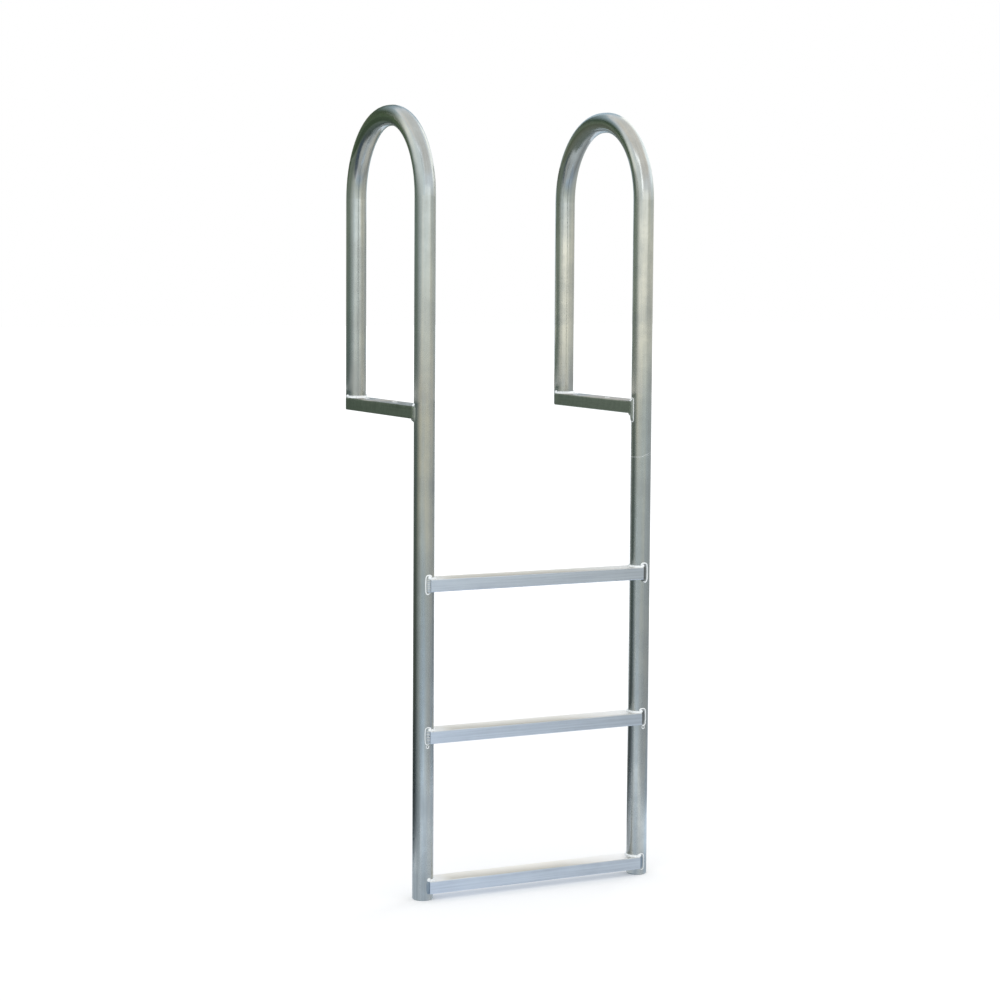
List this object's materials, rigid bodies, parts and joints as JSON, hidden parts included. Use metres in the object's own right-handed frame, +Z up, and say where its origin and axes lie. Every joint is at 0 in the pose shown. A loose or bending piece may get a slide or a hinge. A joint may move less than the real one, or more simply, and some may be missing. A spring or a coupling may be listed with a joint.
{
  "type": "fixed dock ladder",
  "caption": "Straight dock ladder of bent aluminium pipe: each rail ends in a hand loop whose short leg stands on a bracket bolted to the deck; rectangular tube steps.",
  "frame": {"origin": "on the left bracket's underside, midway between its two bolt holes; this face rests on the dock's deck", "axes": "+X along the steps from the left rail to the right rail, +Y from the water to the dock, +Z up"},
  "size_m": [0.5458, 0.3864, 1.5919],
  "materials": {
    "rail_pipe": "mill finish, satin with streaks along the pipe",
    "step_tube": "mill finish, fine lines along the tube",
    "bracket_tube": "mill finish, fine lines along the tube",
    "weld_bead": "bright bead as welded"
  },
  "bodies": {
    "root": {"left_rail": "rail_pipe", "right_rail": "rail_pipe", "left_bracket": "bracket_tube", "right_bracket": "bracket_tube", "left_bracket_front_weld": "weld_bead", "left_bracket_rear_weld": "weld_bead", "right_bracket_front_weld": "weld_bead", "right_bracket_rear_weld": "weld_bead", "step_1": "step_tube", "step_1_left_weld": "weld_bead", "step_1_right_weld": "weld_bead", "step_2": "step_tube", "step_2_left_weld": "weld_bead", "step_2_right_weld": "weld_bead", "step_3": "step_tube", "step_3_left_weld": "weld_bead", "step_3_right_weld": "weld_bead"}
  },
  "joints": []
}
